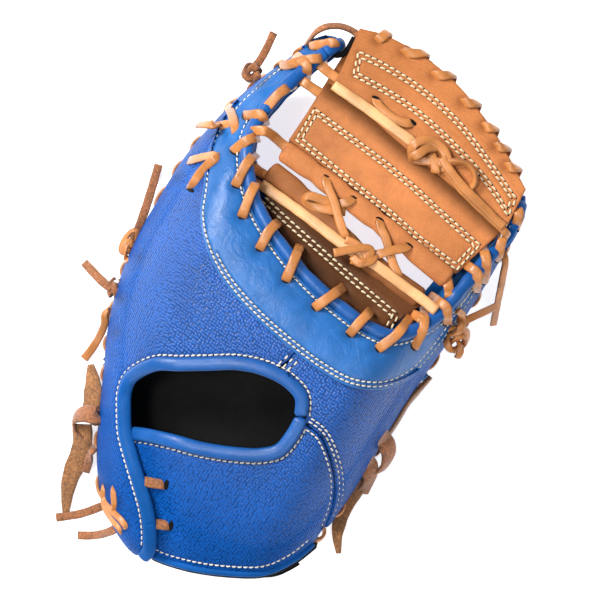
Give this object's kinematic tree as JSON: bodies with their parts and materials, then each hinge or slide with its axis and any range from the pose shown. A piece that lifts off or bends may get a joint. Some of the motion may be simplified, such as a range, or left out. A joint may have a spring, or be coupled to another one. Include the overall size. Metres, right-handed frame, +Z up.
{
  "type": "first baseman mitt",
  "caption": "Left-hand first baseman's mitt in pebbled and smooth blue leather with a camel leather web, rolled edges, a flap wrist opening and rawhide laces with loose tails.",
  "frame": {"origin": "middle of the bottom of the whole mitt's box, on the surface that the mitt lies on, palm down", "axes": "+X towards the thumb, +Y towards the fingertips and web, +Z up, out of the back of the hand"},
  "size_m": [0.2276, 0.355, 0.1076],
  "materials": {
    "pebbled_leather": "pebbled, semi-gloss",
    "smooth_leather": "smooth, semi-gloss",
    "binding": "smooth, semi-gloss",
    "web_leather": "smooth, satin",
    "lace": "rawhide, satin",
    "suede": "suede, matt",
    "lining": "matt"
  },
  "bodies": {
    "root": {"palm": "smooth_leather", "palm_lining": "lining", "finger_back": "pebbled_leather", "thumb_back": "pebbled_leather", "crotch_panel": "smooth_leather", "strap_lining": "lining", "wrist_strap": "pebbled_leather", "web_front_panel": "web_leather", "web_base_panel": "web_leather", "web_mid_panel": "web_leather", "web_top_panel": "web_leather", "web_bar": "web_leather", "web_base_roll": "web_leather", "strap_binding": "binding", "heel_binding": "binding", "opening_binding": "binding", "palm_edge_roll": "binding", "back_edge_roll": "binding", "finger_edge_lace": "lace", "crotch_edge_lace": "lace", "thumb_edge_lace": "lace", "web_edge_lace": "lace", "web_top_tie": "lace", "web_top_loop": "lace", "web_base_tie": "lace", "x_lace_left": "lace", "x_lace_right": "lace", "link_lace_upper": "lace", "link_lace_lower": "lace", "link_lace_thumb": "lace", "side_lace": "lace", "side_loop": "lace", "finger_knot_upper": "lace", "finger_knot_middle": "lace", "finger_knot_lower": "lace", "finger_tail_low": "lace", "thumb_knot": "lace", "thumb_tail": "lace", "flap_lace_upper": "lace", "flap_lace_lower": "lace", "flap_cross_lace": "lace", "flap_tail_outer": "lace", "flap_tail_inner": "lace", "finger_strap": "suede", "finger_strap_keeper": "lace", "thumb_strap": "suede", "thumb_strap_keeper": "lace"}
  },
  "joints": []
}
